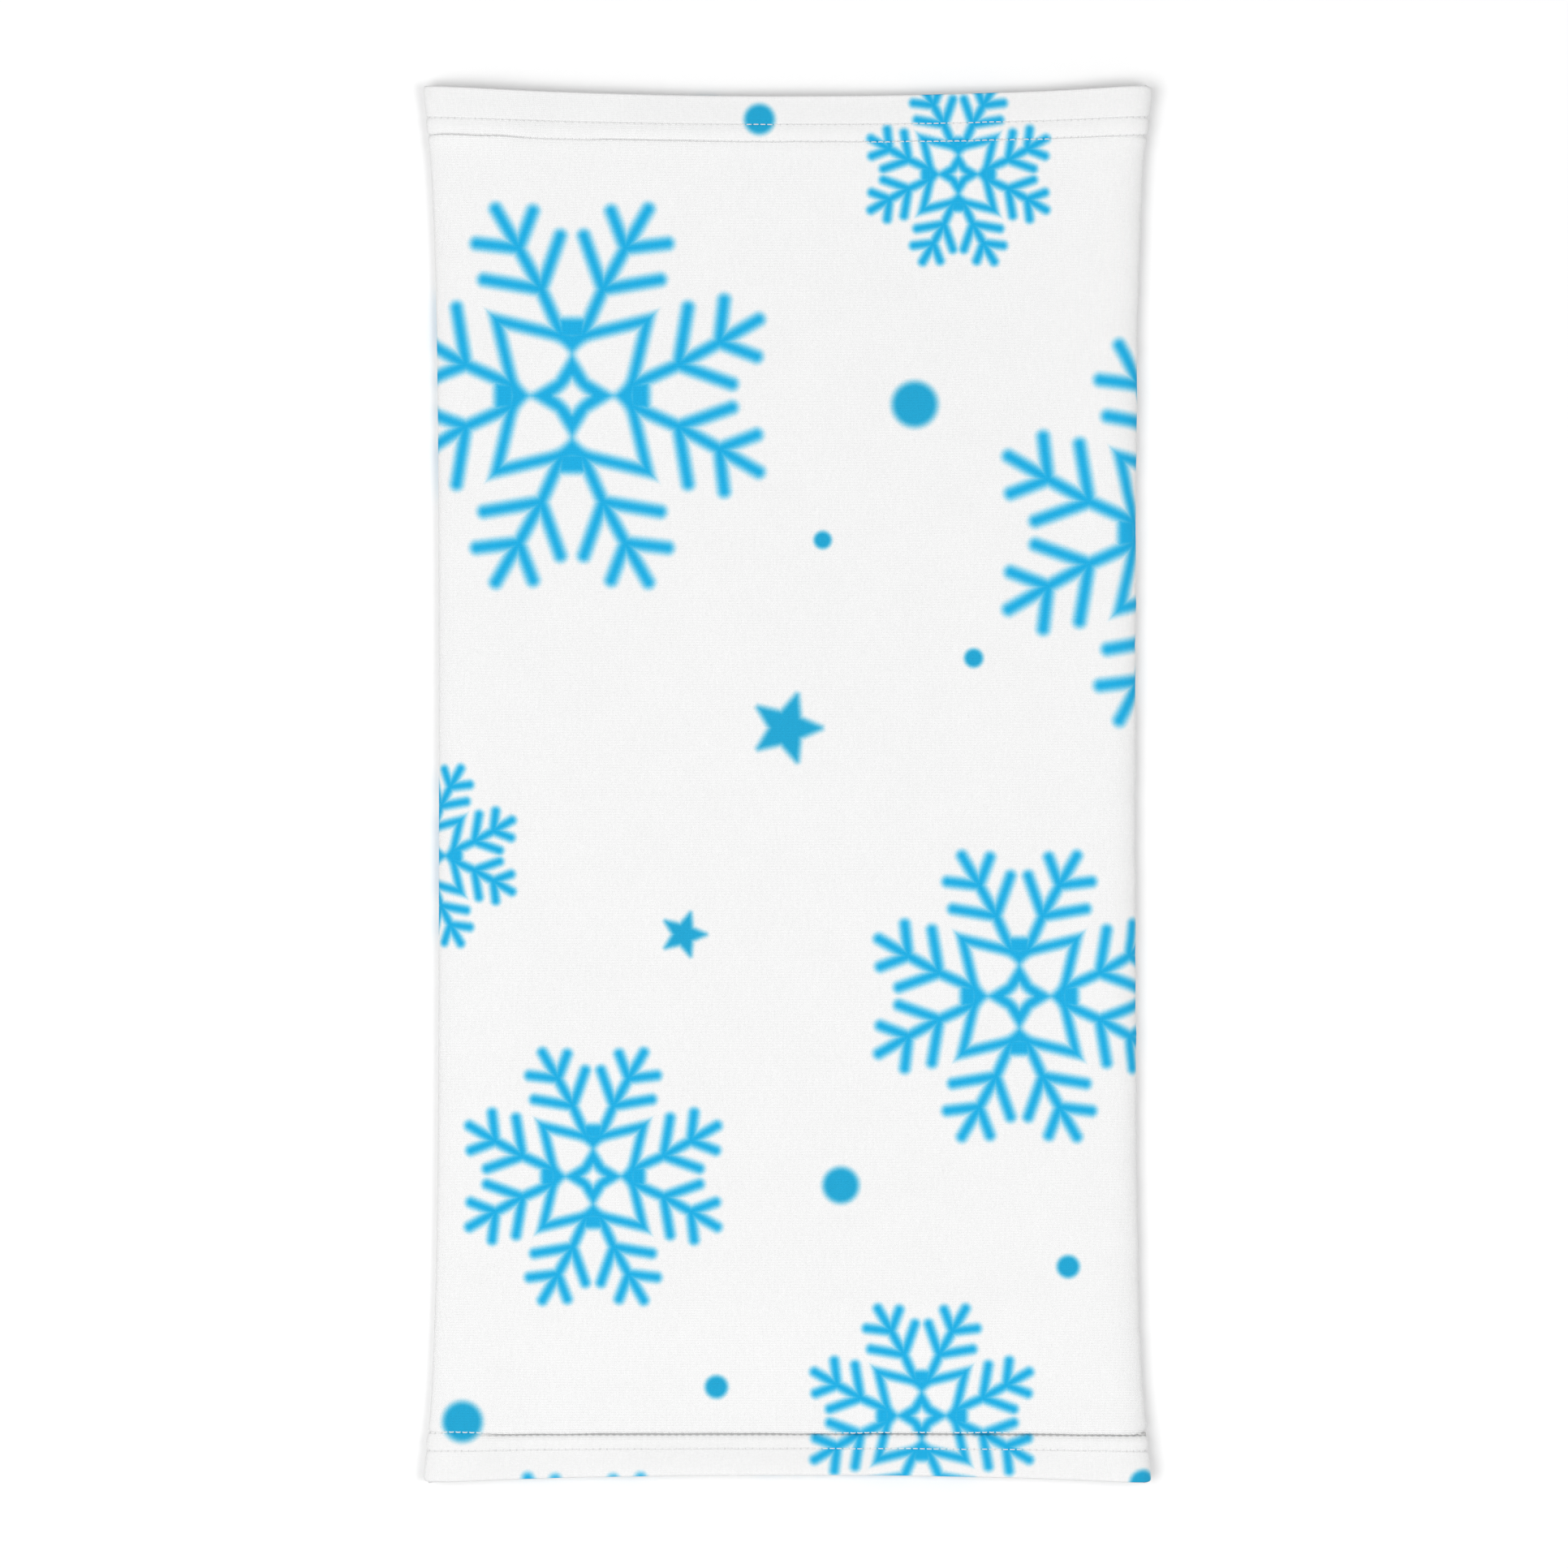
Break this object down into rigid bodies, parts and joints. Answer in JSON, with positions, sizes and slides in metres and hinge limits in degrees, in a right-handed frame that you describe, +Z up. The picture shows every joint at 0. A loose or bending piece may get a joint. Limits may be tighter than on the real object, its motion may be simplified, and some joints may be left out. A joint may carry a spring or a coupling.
{
  "type": "neck gaiter",
  "caption": "Stretch jersey tube worn round the neck or over the face, folded at one side, seamed down the other and hemmed at both ends, lying flat.",
  "frame": {"origin": "on the surface that the tube lies on, under the middle of its box", "axes": "+X across the tube from its folded edge to its seam, +Y along the tube to its top end, +Z up from the surface through the back layer to the front layer"},
  "size_m": [0.252, 0.484, 0.01],
  "materials": {
    "printed_jersey": "matte",
    "white_thread": "satin"
  },
  "bodies": {
    "root": {"front_panel": "printed_jersey", "back_panel": "printed_jersey", "side_seam_allowance": "printed_jersey", "top_hem_turned_in": "printed_jersey", "bottom_hem_turned_in": "printed_jersey", "side_seam_left_needle_thread": "white_thread", "side_seam_right_needle_thread": "white_thread", "side_seam_upper_looper_thread": "white_thread", "side_seam_lower_looper_thread": "white_thread", "top_hem_outer_needle_thread": "white_thread", "top_hem_inner_needle_thread": "white_thread", "top_hem_looper_thread": "white_thread", "bottom_hem_outer_needle_thread": "white_thread", "bottom_hem_inner_needle_thread": "white_thread", "bottom_hem_looper_thread": "white_thread"}
  },
  "joints": []
}
